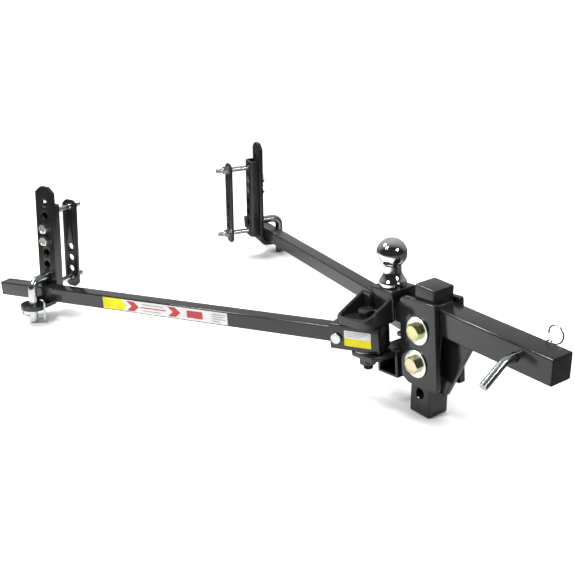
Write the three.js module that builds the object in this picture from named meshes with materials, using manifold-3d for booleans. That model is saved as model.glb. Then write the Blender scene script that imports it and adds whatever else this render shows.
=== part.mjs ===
// Weight distribution hitch: a drop shank, a tilting head with a ball, two spring arms in swinging
// sockets, and two sway brackets that clamp to a trailer frame.
// Millimetres, +X towards the tow vehicle, +Y to the left, +Z up.
// The origin is the centre of the end face of the bar that slides into the receiver.

import * as THREE from 'three';
import { mergeVertices } from 'three/addons/utils/BufferGeometryUtils.js';
import Module from 'manifold-3d';

const wasm = await Module();
wasm.setup();

// ---- Driving dimensions ----

const GAP = 0.3;                    // clearance between neighbouring pieces
const ROUND_SIDES = 16;             // sides on bolts, pins and holes
const BALL_SIDES = 24;
const WIRE_SIDES = 6;
const LEG_STEPS = 5;                // along a wire clip's straight leg
const LOOP_STEPS = 10;              // round its loop
const OVER = 1;                     // how far a cutting tool runs past the face it opens
const SMALL_SIDES = 12;             // sides on small holes
const BAR_CORNER_SIDES = 3;         // round a bar's long corners
const WING_CORNER_SIDES = 6;        // round a wing's tip
const SAME_POINT = 1e-4;            // vertices closer than this are one
const BEND_STEP = 0.6;              // step along a bent rod, in bend radii
const THICK_STEP = 1.2;             // or in rod radii, where that is longer

// Shank
const BAR = 50.8;                   // 2 inch square bar
const BAR_HALF = BAR / 2;
const SHANK_LENGTH = 268;           // front face of the drop bar to the end of the receiver bar
const SHANK_TOP = 228.5;
const SHANK_AXIS = SHANK_TOP - BAR_HALF;
const DROP_HEIGHT = 259;
const BOLT_PITCH = 66.7;
const LOW_HOLE_HEIGHT = 43.5;
const BOLT_LINE = -BAR_HALF;        // X of the bolt holes in the drop bar
const UPPER_BOLT_HEIGHT = LOW_HOLE_HEIGHT + 2 * BOLT_PITCH;
const LOWER_BOLT_HEIGHT = LOW_HOLE_HEIGHT + BOLT_PITCH;
const BIG_HOLE_RADIUS = 10.25;
const CORNER = 4;                   // rounded long corners of the bars
const GUSSET = { thick: 10, reach: 80, foot: 22, low: 51 };

// Hitch pin and its clip
const PIN_RADIUS = 7.94;            // 5/8 inch
const PIN_HOLE_RADIUS = 8.4;
const PIN_STATION = 190;
const PIN_STRAIGHT = { inside: 42, outside: 50 };
const PIN_LEG = 60;
const PIN_BEND = 26;
const PIN_LEG_ANGLE = THREE.MathUtils.degToRad(34);
const CLIP = { wire: 1.5, at: 35, below: 14, leg: 31, ring: 16, hole: 2.1 };
const CLIP_LEAN = THREE.MathUtils.degToRad(42);
const LOOP_STEP = 2.8;              // how far a clip's loop steps aside, in wire radii

// Head, in axes that tilt about the upper head bolt
const HEAD_TILT = THREE.MathUtils.degToRad(5.5);
const SIDE_PLATE = {
  inner: BAR_HALF + GAP, thick: 12, rear: -47, front: 44, top: 57,
  low: -113, rearLow: -100, midLow: -111, midIn: 17, frontLow: -110, frontIn: 5, rearCorner: 7,
};
const SIDE_OUTER = SIDE_PLATE.inner + SIDE_PLATE.thick;
const SLOT_HALF = 7.5;              // half travel of the lower bolt in its slot
const HEAD_BOLT = { radius: 9.5, headFlats: 28.6, headHeight: 12, nutHeight: 16.4, spare: 9 };
const HEAD_WASHER = { radius: 27, thick: 3.2 };
const BALL_STATION = -104;
const PLATFORM = { rear: -137, front: -73, half: 31, top: 55.5, under: 24, cheek: 5.6 };
const UPPER_BLOCK = { front: -36, low: -3.7, top: 30 };
const LOWER_BLOCK = {
  rear: -112, front: -57, half: 40, low: -111, wall: 6, tongueRear: -63, tongueFront: -43.5, tongueTop: -45,
};

// Ball, 2 5/16 inch
const BALL = {
  radius: 29.37, height: 63.7, flat: 27.4, neck: 17.5, neckHeight: 27, root: 20, rootHeight: 20,
  flange: 26.7, flangeRim: 9.5, flangeTop: 22.7, flangeHeight: 15, shank: 15.9, steps: 8,
};
const BALL_NUT = { flats: 44.5, height: 23, washer: 24.5, washerThick: 5.5, spare: 6 };

// Sockets and spring arms
const SOCKET_PIVOT = { x: -112, y: 63.5, z: -31.5 };
const SOCKET = { half: 25.2, front: 36, rear: 67 };
const ARM = 31.75;
const ARM_HALF = ARM / 2;
const ARM_START = 15;
const ARM_CORNER = 2.5;
const ARM_LENGTH = 937;             // pivot to the rear end
const ARM_CAVITY_HALF = ARM_HALF + 0.4;
const RIGHT_ARM_ANGLE = THREE.MathUtils.degToRad(22.7);
const LEFT_ARM_ANGLE = THREE.MathUtils.degToRad(14.9);
const DISC = { radius: 27, thick: 2 };          // friction washers above and below a socket
const SOCKET_BOLT = { radius: 9.5, play: 0.2, headFlats: 28.6, headHeight: 12, nutHeight: 16.4, low: -98 };
const SOCKET_WASHER = { radius: 18, thick: 3 };
const ARM_PIN = {
  station: 53, radius: 5.5, head: 10.5, headThick: 4, drop: -3, tail: 12, tailHole: 6,
};
const ARM_CLIP = { wire: 1.3, hole: 1.7, below: 11, leg: 9, ring: 7 };

// Wings that hold the sockets
const UPPER_WING = {
  rear: -156, front: -73, tipRear: 108, tipFront: 98, round: 20,
  floorTop: 7, rearRib: 6.5, rib: 6.5, ribHigh: 44, ribLow: 10, lipDepth: 8,
  cheekFront: -130, cheek: 6,
};
const BALL_SHANK_END = PLATFORM.under - BALL_NUT.washerThick - BALL_NUT.height - BALL_NUT.spare - 2 * GAP;
const WING_FLOOR_LOW = SOCKET_PIVOT.z + SOCKET.half + DISC.thick + 2 * GAP;
const LOWER_WING_TOP = SOCKET_PIVOT.z - SOCKET.half - DISC.thick - 2 * GAP;
const LOWER_WING = {
  thick: 9.5, rear: -142, front: -64, shoulder: 71.5, tipRear: -128, tipFront: -70, tip: 91,
};

// Sway brackets. Heights are above the floor, "out" is away from the centre line from the arm's axis.
const RIGHT_STATION = 822;
const LEFT_STATION = 803;
const RIGHT_LEAN = THREE.MathUtils.degToRad(3.5);   // of the bracket's top, towards the centre line
const LEFT_LEAN = 0;
const BRACKET_PLAY = 2.3;           // room for the arm, which slopes against the bracket
const PLATE = {
  width: 50, thick: 9.6, top: 303, cutAcross: 15, cutDown: 13, inside: ARM_HALF + BRACKET_PLAY,
};
const FOOT = { thick: 10, pinOut: 34, pinPlay: 0.5, round: 28, bend: 20 };
const FOOT_SIDES = 32;
const HOLE_RADIUS = 8.6;
const HOLE_PITCH = 28.6;
const TOP_HOLE = 265;
const PLATE_HOLES = 6;
const CHANNEL = { width: 39, wall: 6, depth: 24, low: 56, top: 259, lastHole: 6 };
const CHANNEL_OUT = -(PLATE.inside + PLATE.thick + GAP);
const CHANNEL_WEB = CHANNEL_OUT - CHANNEL.depth;
const BRACKET_BOLT = { radius: 7.9, flats: 20.6, head: 10, first: 2 };
const CLAMP_HEIGHTS = { upper: 240, lower: 70 };
const CLAMP_BOLT = { radius: 6.3, play: 0.4, flats: 19, head: 8, nut: 11, spare: 18 };
const LINK = { out: -99, thick: 7.5, width: 39, low: 46, top: 256, corner: 10 };
const LINK_HOLES = { count: 3, radius: 7.6, pitch: 27, lowest: 90 };
const L_PIN = { radius: 9.53, bend: 19, legHeight: 94.1, legGap: 2, clipHeight: 9 };      // 3/4 inch
const BAIL = { wire: 2, bend: 5, reach: 33, top: 55, hook: 21, stub: 27, hole: 2.6 };

// ---- Materials ----

function finish(color, roughness, metalness) {
  return new THREE.MeshStandardMaterial({ color, roughness, metalness });
}

const blackPaint = () => finish(0x17181a, 0.32, 0.35);
const zinc = () => finish(0xc4c7ca, 0.35, 0.9);
const yellowZinc = () => finish(0xc9bd62, 0.35, 0.85);
const chrome = () => finish(0xdadcde, 0.08, 1.0);
const bareSteel = () => finish(0x8b8d90, 0.45, 0.85);

// ---- Solids ----

function toManifold(geometry) {
  const bare = geometry.clone();
  bare.deleteAttribute('normal');
  bare.deleteAttribute('uv');
  const merged = mergeVertices(bare, SAME_POINT);
  const vertProperties = new Float32Array(merged.attributes.position.array);
  const triVerts = new Uint32Array(merged.index.array);
  return new wasm.Manifold(new wasm.Mesh({ numProp: 3, vertProperties, triVerts }));
}

function toGeometry(manifold) {
  const mesh = manifold.getMesh();
  const geometry = new THREE.BufferGeometry();
  geometry.setAttribute('position', new THREE.BufferAttribute(new Float32Array(mesh.vertProperties), 3));
  geometry.setIndex(new THREE.BufferAttribute(new Uint32Array(mesh.triVerts), 1));
  return geometry;
}

function join(...pieces) {
  return toGeometry(pieces.map(toManifold).reduce((whole, piece) => whole.add(piece)));
}

function cut(body, ...tools) {
  return toGeometry(tools.map(toManifold).reduce((rest, tool) => rest.subtract(tool), toManifold(body)));
}

function block(x0, x1, y0, y1, z0, z1) {
  const geometry = new THREE.BoxGeometry(Math.abs(x1 - x0), Math.abs(y1 - y0), Math.abs(z1 - z0));
  return geometry.translate((x0 + x1) / 2, (y0 + y1) / 2, (z0 + z1) / 2);
}

// Three.js cylinders and lathes stand along Y; this lays them along another axis.
function along(axis, geometry) {
  if (axis === 'z') geometry.rotateX(Math.PI / 2);
  if (axis === 'x') geometry.rotateZ(-Math.PI / 2);
  return geometry;
}

function rod(radius, start, end, axis, sides = ROUND_SIDES) {
  const geometry = new THREE.CylinderGeometry(radius, radius, Math.abs(end - start), sides);
  return along(axis, geometry.translate(0, (start + end) / 2, 0));
}

function hexagon(flats, start, end, axis) {
  return rod(flats / Math.sqrt(3), start, end, axis, 6);
}

// A bore along a piece's axis that runs past both its ends.
function bore(radius, start, end, axis) {
  return rod(radius, Math.min(start, end) - OVER, Math.max(start, end) + OVER, axis);
}

function ring(outer, inner, start, end, axis) {
  return cut(rod(outer, start, end, axis), bore(inner, start, end, axis));
}

function drilledHexagon(flats, inner, start, end, axis) {
  return cut(hexagon(flats, start, end, axis), bore(inner, start, end, axis));
}

// A bore right across the object along Y, at a point in X and Z.
function crossBore(radius, x, z) {
  return rod(radius, -BAR, BAR, 'y').translate(x, 0, z);
}

function shapeOf(points) {
  return new THREE.Shape(points.map(([a, b]) => new THREE.Vector2(a, b)));
}

// An outline in X and Z, filled from y0 up to y1.
function sheetXZ(points, y0, y1) {
  const geometry = new THREE.ExtrudeGeometry(shapeOf(points), { depth: y1 - y0, bevelEnabled: false });
  return geometry.rotateX(Math.PI / 2).translate(0, y1, 0);
}

// An outline in Y and Z, filled from x0 up to x1.
function sheetYZ(shape, x0, x1) {
  const geometry = new THREE.ExtrudeGeometry(shape, { depth: x1 - x0, bevelEnabled: false });
  return geometry.rotateX(Math.PI / 2).rotateZ(Math.PI / 2).translate(x0, 0, 0);
}

// An outline in X and Y, filled from z0 up to z1.
function sheetXY(shape, z0, z1, curveSegments = WING_CORNER_SIDES) {
  const geometry = new THREE.ExtrudeGeometry(shape, { depth: z1 - z0, bevelEnabled: false, curveSegments });
  return geometry.translate(0, 0, z0);
}

function squareBar(half, corner, start, end) {
  const shape = new THREE.Shape();
  const flat = half - corner;
  shape.moveTo(half, -flat);
  shape.lineTo(half, flat);
  shape.absarc(flat, flat, corner, 0, Math.PI / 2);
  shape.absarc(-flat, flat, corner, Math.PI / 2, Math.PI);
  shape.absarc(-flat, -flat, corner, Math.PI, 1.5 * Math.PI);
  shape.absarc(flat, -flat, corner, 1.5 * Math.PI, 2 * Math.PI);
  return sheetXY(shape, start, end, BAR_CORNER_SIDES);
}

// A round wire or bar along straight runs joined by bends of one radius.
function bentRod(radius, bend, corners, sides = WIRE_SIDES) {
  const path = new THREE.CurvePath();
  let from = corners[0].clone();
  for (let i = 1; i < corners.length - 1; i += 1) {
    const before = corners[i].clone().sub(corners[i - 1]).normalize();
    const after = corners[i + 1].clone().sub(corners[i]).normalize();
    const setback = bend * Math.tan(before.angleTo(after) / 2);
    const enter = corners[i].clone().addScaledVector(before, -setback);
    const leave = corners[i].clone().addScaledVector(after, setback);
    path.add(new THREE.LineCurve3(from, enter));
    path.add(new THREE.QuadraticBezierCurve3(enter, corners[i], leave));
    from = leave;
  }
  path.add(new THREE.LineCurve3(from, corners[corners.length - 1]));
  const steps = Math.ceil(path.getLength() / Math.max(bend * BEND_STEP, radius * THICK_STEP));
  return sweep(path, radius, sides, steps);
}

function sweep(path, radius, sides, steps) {
  const section = new THREE.Shape();
  for (let i = 0; i < sides; i += 1) {
    const turn = (2 * Math.PI * i) / sides;
    const point = [radius * Math.cos(turn), radius * Math.sin(turn)];
    if (i === 0) section.moveTo(...point);
    else section.lineTo(...point);
  }
  return new THREE.ExtrudeGeometry(section, { steps, extrudePath: path, bevelEnabled: false });
}

// A wire clip: a straight leg along Z from low to high, then a loop in X and Z that steps aside in Y.
function ringClip(wire, low, high, loop, stepSide) {
  const points = [];
  for (let i = 0; i <= LEG_STEPS; i += 1) {
    points.push(new THREE.Vector3(0, 0, low + ((high - low) * i) / LEG_STEPS));
  }
  for (let i = 1; i < LOOP_STEPS; i += 1) {
    const turn = -Math.PI / 2 + (i / LOOP_STEPS) * 2 * Math.PI;
    const aside = (stepSide * LOOP_STEP * wire * i) / LOOP_STEPS;
    points.push(new THREE.Vector3(loop * Math.cos(turn), aside, high + loop * (1 + Math.sin(turn))));
  }
  const curve = new THREE.CatmullRomCurve3(points, false, 'centripetal');
  return sweep(curve, wire, WIRE_SIDES, LEG_STEPS + Math.ceil(1.5 * LOOP_STEPS));
}

// ---- Scene graph ----

const hitch = new THREE.Group();
hitch.position.set(-SHANK_LENGTH, 0, -SHANK_AXIS);

function place(parent, name, geometry, material) {
  const mesh = new THREE.Mesh(geometry, material);
  mesh.name = name;
  parent.add(mesh);
  return mesh;
}

// ---- Shank ----

function buildShank() {
  const receiverBar = cut(
    squareBar(BAR_HALF, CORNER, GAP, SHANK_LENGTH).rotateY(Math.PI / 2).translate(0, 0, SHANK_AXIS),
    crossBore(PIN_HOLE_RADIUS, PIN_STATION, SHANK_AXIS),
  );
  place(hitch, 'shank_receiver_bar', receiverBar, blackPaint());

  const heights = [LOW_HOLE_HEIGHT, LOWER_BOLT_HEIGHT, UPPER_BOLT_HEIGHT];
  const holes = heights.map((height) => crossBore(BIG_HOLE_RADIUS, 0, height));
  const dropBar = cut(squareBar(BAR_HALF, CORNER, 0, DROP_HEIGHT), ...holes).translate(BOLT_LINE, 0, 0);
  place(hitch, 'shank_drop_bar', dropBar, blackPaint());

  const underside = SHANK_TOP - BAR - GAP;
  const gusset = sheetXZ(
    [[GAP, underside], [GAP, GUSSET.low], [GUSSET.foot, GUSSET.low], [GUSSET.reach, underside]],
    -GUSSET.thick / 2,
    GUSSET.thick / 2,
  );
  place(hitch, 'shank_gusset', gusset, blackPaint());
}

function buildHitchPin() {
  const leg = new THREE.Vector3(0, -Math.cos(PIN_LEG_ANGLE), -Math.sin(PIN_LEG_ANGLE));
  const bendPoint = new THREE.Vector3(0, -PIN_STRAIGHT.outside, 0);
  const corners = [
    new THREE.Vector3(0, PIN_STRAIGHT.inside, 0),
    bendPoint,
    bendPoint.clone().addScaledVector(leg, PIN_LEG),
  ];
  const pin = cut(
    bentRod(PIN_RADIUS, PIN_BEND, corners, ROUND_SIDES),
    rod(CLIP.hole, -BAR, BAR, 'z', SMALL_SIDES).rotateY(CLIP_LEAN).translate(0, CLIP.at, 0),
  );
  pin.translate(PIN_STATION, 0, SHANK_AXIS);
  place(hitch, 'hitch_pin', pin, zinc());

  const clip = ringClip(CLIP.wire, -CLIP.below, CLIP.leg, CLIP.ring, 1);
  clip.rotateY(CLIP_LEAN).translate(PIN_STATION, CLIP.at, SHANK_AXIS);
  place(hitch, 'hitch_pin_clip', clip, zinc());
}

// ---- Head ----

const head = new THREE.Group();
head.position.set(BOLT_LINE, 0, UPPER_BOLT_HEIGHT);
head.rotation.y = -HEAD_TILT;
hitch.add(head);

function buildSidePlate(name, side) {
  const { rear, front, top, low, rearLow, midLow, midIn, frontLow, frontIn, rearCorner } = SIDE_PLATE;
  const outline = [
    [rear, top - rearCorner], [rear, rearLow], [rear + midIn, midLow],
    [front - frontIn, low], [front, frontLow], [front, top], [rear + rearCorner, top],
  ];
  const plate = sheetXZ(outline, -SIDE_PLATE.thick / 2, SIDE_PLATE.thick / 2);
  const slot = join(
    crossBore(BIG_HOLE_RADIUS, -SLOT_HALF, -BOLT_PITCH),
    crossBore(BIG_HOLE_RADIUS, SLOT_HALF, -BOLT_PITCH),
    block(-SLOT_HALF, SLOT_HALF, -BAR, BAR, -BOLT_PITCH - BIG_HOLE_RADIUS, -BOLT_PITCH + BIG_HOLE_RADIUS),
  );
  slot.translate(lowerBoltShift(), 0, 0);
  const shell = cut(plate, crossBore(BIG_HOLE_RADIUS, 0, 0), slot);
  shell.translate(0, side * (SIDE_PLATE.inner + SIDE_PLATE.thick / 2), 0);
  place(head, name, shell, blackPaint());
}

// The lower bolt stays in the drop bar, so in the tilted head it lies off the head's own Z axis.
function lowerBoltShift() {
  return -BOLT_PITCH * Math.sin(HEAD_TILT);
}

function buildPlatform() {
  const { rear, front, half, top, under, cheek } = PLATFORM;
  const body = block(rear, front, -half, half, UPPER_BLOCK.low, top);
  const pocket = block(rear - OVER, front + OVER, cheek - half, half - cheek, UPPER_BLOCK.low - OVER, under);
  const shankBore = bore(BALL.shank + GAP, under, top, 'z').translate(BALL_STATION, 0, 0);
  const web = block(front - GAP, UPPER_BLOCK.front, -BAR_HALF, BAR_HALF, UPPER_BLOCK.low, UPPER_BLOCK.top);
  place(head, 'ball_platform', join(cut(body, pocket, shankBore), web), blackPaint());

  place(head, 'head_lower_block', lowerBlock(), blackPaint());
}

// A square tube across the head, open at both ends, with a tongue that meets the side plates.
function lowerBlock() {
  const { rear, front, half, low, wall, tongueRear, tongueFront, tongueTop } = LOWER_BLOCK;
  const tube = cut(
    block(rear, front, -half, half, low, LOWER_WING_TOP),
    block(rear + wall, front - wall, -half - OVER, half + OVER, low + wall, LOWER_WING_TOP - wall),
  );
  const tongue = block(tongueRear, tongueFront, -BAR_HALF, BAR_HALF, low, tongueTop);
  return join(tube, tongue);
}

// An outline from the inner edge to a slanting tip with rounded corners, drawn in by the walls.
function wingShape(side, inner, rearWall, wall) {
  const { round } = UPPER_WING;
  const rear = UPPER_WING.rear + rearWall;
  const front = UPPER_WING.front - wall;
  const tipRear = side * (UPPER_WING.tipRear - wall);
  const tipFront = side * (UPPER_WING.tipFront - wall);
  const shape = new THREE.Shape();
  shape.moveTo(rear, side * inner);
  shape.lineTo(rear, tipRear - side * round);
  shape.quadraticCurveTo(rear, tipRear, rear + round, tipRear);
  shape.lineTo(front - round, tipFront);
  shape.quadraticCurveTo(front, tipFront, front, tipFront - side * round);
  shape.lineTo(front, side * inner);
  return shape;
}

function buildUpperWing(name, side) {
  const inner = PLATFORM.half + GAP;
  const { floorTop, rearRib, rib, ribHigh, ribLow, lipDepth, tipRear, rear, front, cheek } = UPPER_WING;
  const body = sheetXY(wingShape(side, inner, 0, 0), WING_FLOOR_LOW, ribHigh);
  const pocket = cut(
    sheetXY(wingShape(side, inner - OVER, rearRib, rib), floorTop, ribHigh + OVER),
    block(rear, UPPER_WING.cheekFront, 0, side * (inner + cheek), floorTop - OVER, ribHigh + 2 * OVER),
  );
  const slope = shapeOf([
    [side * (inner - OVER), ribHigh], [side * (tipRear - lipDepth), ribLow],
    [side * (tipRear + OVER), ribLow], [side * (tipRear + OVER), ribHigh + OVER],
    [side * (inner - OVER), ribHigh + OVER],
  ]);
  const above = sheetYZ(slope, rear - OVER, front + OVER);
  const solid = cut(body, pocket, above, socketBore(side, WING_FLOOR_LOW, floorTop));
  place(head, name, solid, blackPaint());
}

function socketBore(side, low, high) {
  return bore(SOCKET_BOLT.radius + GAP, low, high, 'z').translate(SOCKET_PIVOT.x, side * SOCKET_PIVOT.y, 0);
}

function buildLowerWing(name, side) {
  const inner = side * (LOWER_BLOCK.half + GAP);
  const { thick, rear, front, tipRear, tipFront, tip } = LOWER_WING;
  const shoulder = side * LOWER_WING.shoulder;
  const outline = shapeOf([
    [rear, inner], [rear, shoulder], [tipRear, side * tip],
    [tipFront, side * tip], [front, shoulder], [front, inner],
  ]);
  const low = LOWER_WING_TOP - thick;
  const plate = sheetXY(outline, low, LOWER_WING_TOP);
  place(head, name, cut(plate, socketBore(side, low, LOWER_WING_TOP)), blackPaint());
}

// A head bolt lies along Y with its head on the right, its nut on the left.
function headBoltSet(parent, suffix, x, z) {
  const faceGap = SIDE_OUTER + GAP;
  const seat = faceGap + HEAD_WASHER.thick + GAP;
  const { radius, headFlats, headHeight, nutHeight, spare } = HEAD_BOLT;
  const bolt = join(
    rod(radius, -seat - OVER, seat + nutHeight + spare, 'y'),
    hexagon(headFlats, -seat - headHeight, -seat, 'y'),
  );
  place(parent, `head_bolt_${suffix}`, bolt.translate(x, 0, z), yellowZinc());
  const inner = radius + GAP;
  const washer = ring(HEAD_WASHER.radius, inner, -faceGap - HEAD_WASHER.thick, -faceGap, 'y');
  place(parent, `head_bolt_washer_${suffix}`, washer.translate(x, 0, z), zinc());
  const nut = join(
    ring(HEAD_WASHER.radius, inner, faceGap, faceGap + HEAD_WASHER.thick, 'y'),
    drilledHexagon(headFlats, inner, faceGap + OVER, seat + nutHeight, 'y'),
  );
  place(parent, `head_bolt_nut_${suffix}`, nut.translate(x, 0, z), yellowZinc());
}

function buildBall() {
  const { radius, height, flat, neck, flange, flangeHeight, shank, steps } = BALL;
  const seat = PLATFORM.top + GAP;
  const shankEnd = BALL_SHANK_END - seat;
  const profile = [
    [0, shankEnd], [shank, shankEnd], [shank, 0], [flange, 0], [flange, BALL.flangeRim],
    [BALL.flangeTop, flangeHeight], [BALL.root, BALL.rootHeight], [neck, BALL.neckHeight],
  ].map(([across, up]) => new THREE.Vector2(across, up));
  const lowTurn = -Math.acos(neck / radius);
  const highTurn = Math.asin(flat / radius);
  for (let i = 0; i <= steps; i += 1) {
    const turn = lowTurn + ((highTurn - lowTurn) * i) / steps;
    profile.push(new THREE.Vector2(radius * Math.cos(turn), height + radius * Math.sin(turn)));
  }
  profile.push(new THREE.Vector2(0, height + flat));
  const ball = along('z', new THREE.LatheGeometry(profile, BALL_SIDES)).translate(BALL_STATION, 0, seat);
  place(head, 'hitch_ball', ball, chrome());

  const washerTop = PLATFORM.under - GAP;
  const washerLow = washerTop - BALL_NUT.washerThick;
  const washer = ring(BALL_NUT.washer, shank + GAP, washerLow, washerTop, 'z').translate(BALL_STATION, 0, 0);
  place(head, 'ball_lock_washer', washer, zinc());
  const nutTop = washerLow - GAP;
  const nut = drilledHexagon(BALL_NUT.flats, shank + GAP, nutTop - BALL_NUT.height, nutTop, 'z')
    .rotateZ(Math.PI / 6)
    .translate(BALL_STATION, 0, 0);
  place(head, 'ball_nut', nut, zinc());
}

function buildSocketBolt(word, side) {
  const { radius, headFlats, headHeight, nutHeight, low } = SOCKET_BOLT;
  const at = [SOCKET_PIVOT.x, side * SOCKET_PIVOT.y, 0];
  const headSeat = UPPER_WING.floorTop + GAP;
  const bolt = join(
    rod(radius, low, headSeat + OVER, 'z'),
    rod(SOCKET_WASHER.radius, headSeat, headSeat + SOCKET_WASHER.thick, 'z'),
    hexagon(headFlats, headSeat + OVER, headSeat + SOCKET_WASHER.thick + headHeight, 'z'),
  );
  place(head, `socket_bolt_${word}`, bolt.translate(...at), blackPaint());
  const washerTop = LOWER_WING_TOP - LOWER_WING.thick - GAP;
  const washerLow = washerTop - SOCKET_WASHER.thick;
  const nut = join(
    ring(SOCKET_WASHER.radius, radius + GAP, washerLow, washerTop, 'z'),
    drilledHexagon(headFlats, radius + GAP, washerLow - nutHeight, washerLow + OVER, 'z'),
  );
  place(head, `socket_bolt_nut_${word}`, nut.translate(...at), blackPaint());
  const discTop = SOCKET_PIVOT.z + SOCKET.half + GAP;
  const discLow = SOCKET_PIVOT.z - SOCKET.half - GAP - DISC.thick;
  for (const [level, z] of [['upper', discTop], ['lower', discLow]]) {
    const disc = ring(DISC.radius, radius + GAP, z, z + DISC.thick, 'z').translate(at[0], at[1], 0);
    place(head, `friction_disc_${level}_${word}`, disc, bareSteel());
  }
}

// ---- Arms: each group turns about its socket bolt, and the arm runs along its own -X ----

function buildArm(word, side, angle) {
  const arm = new THREE.Group();
  arm.position.set(SOCKET_PIVOT.x, side * SOCKET_PIVOT.y, SOCKET_PIVOT.z);
  arm.rotation.z = -side * angle;
  head.add(arm);

  const { half, front, rear } = SOCKET;
  const pinBore = crossBore(ARM_PIN.radius + GAP, -ARM_PIN.station, ARM_PIN.drop);
  const socket = cut(
    block(-rear, front, -half, half, -half, half),
    block(-rear - OVER, OVER - ARM_START, -ARM_CAVITY_HALF, ARM_CAVITY_HALF,
      -ARM_CAVITY_HALF, ARM_CAVITY_HALF),
    rod(SOCKET_BOLT.radius + GAP + SOCKET_BOLT.play, -BAR, BAR, 'z'),
    pinBore,
  );
  place(arm, `arm_socket_${word}`, socket, blackPaint());

  const bar = squareBar(ARM_HALF, ARM_CORNER, -ARM_LENGTH, -ARM_START).rotateY(Math.PI / 2);
  place(arm, `spring_arm_${word}`, cut(bar, pinBore), blackPaint());

  const outer = half + GAP;
  const pin = join(
    rod(ARM_PIN.radius, -outer - ARM_PIN.tail, outer + OVER, 'y'),
    rod(ARM_PIN.head, outer, outer + ARM_PIN.headThick, 'y'),
  );
  const clipAt = -outer - ARM_PIN.tailHole;
  const drilled = cut(pin, rod(ARM_CLIP.hole, -BAR, BAR, 'z', SMALL_SIDES).translate(0, clipAt, 0));
  if (side < 0) drilled.rotateZ(Math.PI);
  place(arm, `arm_pin_${word}`, drilled.translate(-ARM_PIN.station, 0, ARM_PIN.drop), zinc());

  const clip = ringClip(ARM_CLIP.wire, -ARM_CLIP.below, ARM_CLIP.leg, ARM_CLIP.ring, -side);
  place(arm, `arm_pin_clip_${word}`, clip.translate(-ARM_PIN.station, side * clipAt, ARM_PIN.drop), zinc());
  return arm;
}

// ---- Sway brackets: upright or nearly so, facing along their arm ----

function buildBracket(word, side, arm, station, lean) {
  hitch.updateMatrixWorld(true);
  const centre = hitch.worldToLocal(arm.localToWorld(new THREE.Vector3(-station, 0, 0)));
  const ahead = hitch.worldToLocal(arm.localToWorld(new THREE.Vector3(-station + 1, 0, 0))).sub(centre);
  const bracket = new THREE.Group();
  bracket.rotation.set(side * lean, 0, Math.atan2(ahead.y, ahead.x), 'ZYX');
  bracket.position.copy(centre).sub(new THREE.Vector3(0, 0, centre.z).applyEuler(bracket.rotation));
  hitch.add(bracket);
  const fall = ahead.z / Math.hypot(ahead.x, ahead.y);
  const footTop = centre.z - ARM_HALF / Math.cos(Math.atan(fall)) - fall * FOOT.round - BRACKET_PLAY;

  const fit = (name, geometry, material) => place(bracket, `${name}_${word}`, geometry, material);
  fit('sway_bracket', bracketPlate(side, footTop), blackPaint());
  fit('frame_channel', frameChannel(side), blackPaint());
  bracketBolts(fit, side);
  clampBolts(fit, side);
  fit('link_plate', linkPlate(side), blackPaint());
  lockPin(fit, side);
}

function bracketPlate(side, footTop) {
  const halfWidth = PLATE.width / 2;
  const inside = side * -PLATE.inside;
  const outside = side * -(PLATE.inside + PLATE.thick);
  const { top, cutAcross, cutDown } = PLATE;
  const low = footTop - FOOT.thick;
  const upright = sheetXZ(
    [[-halfWidth, low], [halfWidth, low], [halfWidth, top - cutDown], [halfWidth - cutAcross, top],
      [cutAcross - halfWidth, top], [-halfWidth, top - cutDown]],
    Math.min(inside, outside),
    Math.max(inside, outside),
  );
  const foot = join(
    block(-halfWidth, halfWidth, outside, side * FOOT.pinOut, low, footTop),
    rod(FOOT.round, low, footTop, 'z', FOOT_SIDES).translate(0, side * FOOT.pinOut, 0),
  );
  const bendCentre = [outside + side * FOOT.bend, low + FOOT.bend];
  const heel = cut(
    block(-halfWidth - OVER, halfWidth + OVER, outside - side * OVER, bendCentre[0],
      low - OVER, bendCentre[1]),
    rod(FOOT.bend, -PLATE.width, PLATE.width, 'x', FOOT_SIDES).translate(0, ...bendCentre),
  );
  const holes = [];
  for (let i = 0; i < PLATE_HOLES; i += 1) {
    holes.push(crossBore(HOLE_RADIUS, 0, TOP_HOLE - i * HOLE_PITCH));
  }
  const pinHole = bore(L_PIN.radius + FOOT.pinPlay, low, footTop, 'z').translate(0, side * FOOT.pinOut, 0);
  return cut(join(upright, foot), heel, ...holes, pinHole);
}

function frameChannel(side) {
  const halfWidth = CHANNEL.width / 2;
  const outer = side * CHANNEL_OUT;
  const web = side * CHANNEL_WEB;
  const { low, top, wall } = CHANNEL;
  const body = block(-halfWidth, halfWidth, outer, web, low, top);
  const trough = block(
    wall - halfWidth, halfWidth - wall, outer + side * OVER, web + side * wall, low - OVER, top + OVER,
  );
  const holes = [];
  for (let i = BRACKET_BOLT.first; i <= CHANNEL.lastHole; i += 1) {
    holes.push(bore(HOLE_RADIUS, outer, web, 'y').translate(0, 0, TOP_HOLE - i * HOLE_PITCH));
  }
  return cut(body, trough, ...holes, ...clampBores(outer, web));
}

function clampBores(start, end) {
  const radius = CLAMP_BOLT.radius + CLAMP_BOLT.play;
  return Object.values(CLAMP_HEIGHTS).map((height) => bore(radius, start, end, 'y').translate(0, 0, height));
}

// The two bolts that hold the sway bracket to the channel. They end flush in the channel's web.
function bracketBolts(fit, side) {
  const { radius, flats, head: headHeight, first } = BRACKET_BOLT;
  const seat = -PLATE.inside + GAP;
  for (const [level, hole] of [['upper', first], ['lower', first + 1]]) {
    const bolt = join(
      rod(radius, side * CHANNEL_WEB, side * (seat + OVER), 'y'),
      hexagon(flats, side * seat, side * (seat + headHeight), 'y'),
    );
    fit(`bracket_bolt_${level}`, bolt.translate(0, 0, TOP_HOLE - hole * HOLE_PITCH), zinc());
  }
}

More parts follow.
